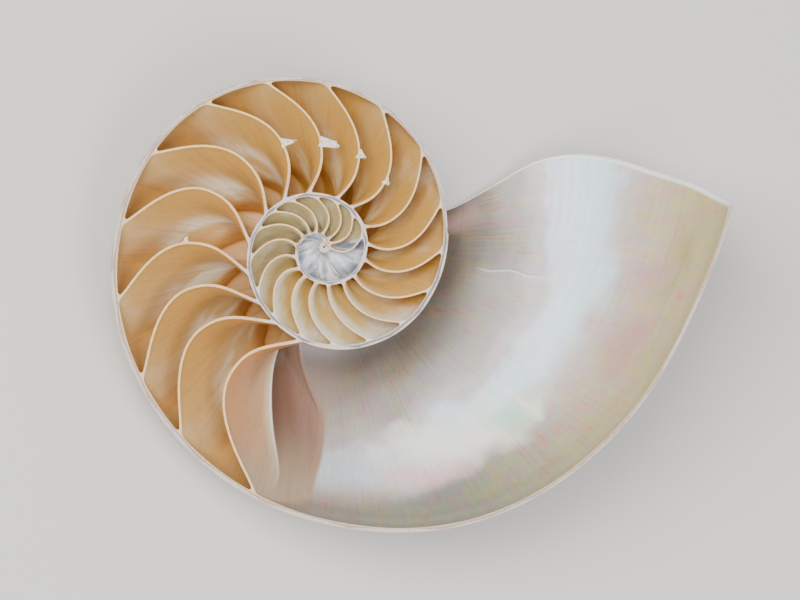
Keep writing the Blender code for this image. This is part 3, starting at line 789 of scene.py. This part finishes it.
for name, values in (
    ("elevation", elevation),
    ("turn", turn),
    ("outer_turn", outer_turn),
    ("inward", inward),
    ("along", along),
    ("arc", np.interp(turn, grown_steps, arc_length)),
    ("body", newer == 0),
    ("to_lip", np.where(outermost, lip_turn - outer_turn, lip_turn - turn)),
    ("fold", elevation - FOLD_DEPTH * (1 - np.exp(-FOLD_RATE * inward))),
    ("band", elevation - curve(PAINTED_HIGHLIGHT_BAND, turn)),
    ("stub", stub),
    ("across", np.where(outermost, 0.0, 1 - inward)),
    ("wall_turn", turn - 360 * (inward > 0.5)),
    ("on_septum", (inward > NEAR_WALL) & (inward < 1 - NEAR_WALL) & ~outermost),
):
    attribute = whorl.data.attributes.new(name, "FLOAT", "POINT")
    attribute.data.foreach_set("value", np.asarray(values, np.float32))

# Laid down on its rounded outside, as it settles.
set_points(whorl, (read_points(whorl) + shift) @ turn_down.T)
take_up(whorl)
bpy.ops.object.shade_smooth_by_angle(angle=math.radians(35))
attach(whorl, "root")
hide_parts("shell_half")


# The siphuncle necks: short chalky tubes behind the chamber walls, sawn open and crumbled, left where
# the stalk of living tissue ran through. Each is a ring drawn out into a funnel and cut in half.
SUNK, LEAST_WALL, LEAST_RADIUS = 0.3, 0.15, 0.04
# The chamber wall that each grows on, its place across the whorl, and in millimetres its length, the
# radius at its base and at its tip, and the bore.
NECKS = [
    (3, 0.51, 1.7, 0.9, 0.35, 0.05), (6, 0.54, 3.6, 1.45, 0.35, 0.15), (7, 0.53, 4.8, 1.45, 0.9, 0.45),
    (8, 0.51, 1.9, 1.5, 0.35, 0.05), (9, 0.53, 1.2, 1.2, 0.4, 0.05),
]
# Chalk: crumbling shell matter without nacre, as grown, dull white with grey in its pores.
chalk, tree, shader, here = start_material("chalky_siphuncle")
colour = add_node(tree, "ValToRGB", add_node(tree, "TexNoise", here, 1 / (0.7 * MM), 3.0), stops=[
    (0.3, "#A79C92"), (0.42, "#E4DACE"), (0.6, "#F6F1EA"),
])
tree.links.new(colour, shader.inputs["Base Color"])
shader.inputs["Roughness"].default_value = 0.85
for index, inward_at, length, base, tip, bore in NECKS:
    level, inward_at = np.array(0.0), np.array(inward_at)
    foot_turn = septum_turn(index, level, inward_at)
    start = inside(level, inward_at, foot_turn)
    ahead = inside(level, inward_at, foot_turn - 4.0)
    heading = (ahead - start) / np.linalg.norm(ahead - start)
    bpy.ops.mesh.primitive_torus_add(
        major_segments=28, minor_segments=28, major_radius=1, minor_radius=0.3
    )
    neck = bpy.context.object
    neck.name = f"siphuncle_neck_{index + 1:02d}"
    ring_points = read_points(neck)
    around = np.arctan2(ring_points[:, 1], ring_points[:, 0])
    off_ring = np.hypot(ring_points[:, 0], ring_points[:, 1]) - 1
    profile = np.arctan2(ring_points[:, 2], off_ring) % (2 * math.pi)
    run = 0.5 * (1 - np.cos(profile))
    crumble = 0.05 * np.sin(3 * around + index + 6 * run)
    crumble += 0.03 * np.sin(6 * around + 2.3 * index - 8 * run)
    outer = tip + (base - tip) * (1 - run) ** 1.4 + crumble * np.minimum(1, 2 * run)
    inner = np.minimum(outer - LEAST_WALL, bore + 0.1 * (1 - run))
    radius = np.maximum(np.where(profile < math.pi, outer, inner), LEAST_RADIUS)
    uneven = 1 + 0.12 * np.sin(2 * around + 1.7 * index) * run
    reach = -SUNK + (length + SUNK) * run * uneven
    side, up = np.array([-heading[1], heading[0], 0]), np.array([0, 0, 1.0])
    spoke = np.cos(around)[:, None] * side + np.sin(around)[:, None] * up
    set_points(neck, (start + reach[:, None] * heading + radius[:, None] * spoke) * MM)
    in_edit(neck, (bpy.ops.mesh.bisect, {
        "plane_co": (0, 0, -SAW_KERF * MM), "plane_no": (0, 0, 1), "use_fill": True, "clear_outer": True,
    }))
    face_out(neck)
    set_points(neck, (read_points(neck) + shift) @ turn_down.T)
    neck.data.materials.append(chalk)
    take_up(neck)
    bpy.ops.object.shade_smooth_by_angle(angle=math.radians(40))
    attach(neck, "root")


# The floor: a plain pale table that the shell lies on, seen square on to the sawn face, with a large
# soft window to the upper left and a weak one opposite.
bpy.ops.mesh.primitive_plane_add(size=6)
floor = bpy.context.object
floor.name = "floor"
# Laminate: pressed smooth, so it is even and pale, and takes a soft shadow with hardly any shine.
pale, tree, shader, here = start_material("pale_table")
shader.inputs["Base Color"].default_value = srgb("#D9D7D3")
shader.inputs["Roughness"].default_value = 0.6
floor.data.materials.append(pale)

# The view, from far off. The point looked at is in millimetres, measured in the sawn plane.
VIEW_DISTANCE, VIEW_WIDTH, VIEW_AT = 4.0, 0.2183, (20.7, -14.5, 0.0)
target = Vector(turn_down @ (np.array(VIEW_AT) * MM + shift))
axes = [Vector(turn_down @ np.array(axis)) for axis in ((1.0, 0, 0), (0, 1.0, 0), (0, 0, 1.0))]
camera_data = bpy.data.cameras.new("camera")
camera = bpy.data.objects.new("camera", camera_data)
bpy.context.collection.objects.link(camera)
camera_data.sensor_width = 36.0
camera_data.lens = camera_data.sensor_width * VIEW_DISTANCE / VIEW_WIDTH
faced = Matrix(axes).transposed().to_4x4()
camera.matrix_world = Matrix.Translation(target + axes[2] * VIEW_DISTANCE) @ faced
bpy.context.scene.camera = camera


def window(name, direction, size, power, colour):
    """A soft light at a direction given in the picture's right, up and toward-camera axes."""
    made = bpy.data.objects.new(name, bpy.data.lights.new(name, "AREA"))
    bpy.context.collection.objects.link(made)
    made.data.shape = "RECTANGLE"
    made.data.size, made.data.size_y = size
    made.data.energy = power
    made.data.color = srgb(colour)[:3]
    offset = sum((axis * amount for axis, amount in zip(axes, direction)), Vector())
    made.location = target + offset
    made.rotation_euler = offset.to_track_quat("Z", "Y").to_euler()


window("window_left", (-0.32, 0.34, 1.25), (0.9, 0.9), 22, "#FFFCF6")
window("window_right", (0.5, -0.4, 1.1), (0.5, 0.6), 7, "#F4F6FF")
world = bpy.data.worlds.new("room")
bpy.context.scene.world = world
world.use_nodes = True
background = world.node_tree.nodes["Background"]
background.inputs["Color"].default_value = srgb("#F2F3F6")
background.inputs["Strength"].default_value = 0.82
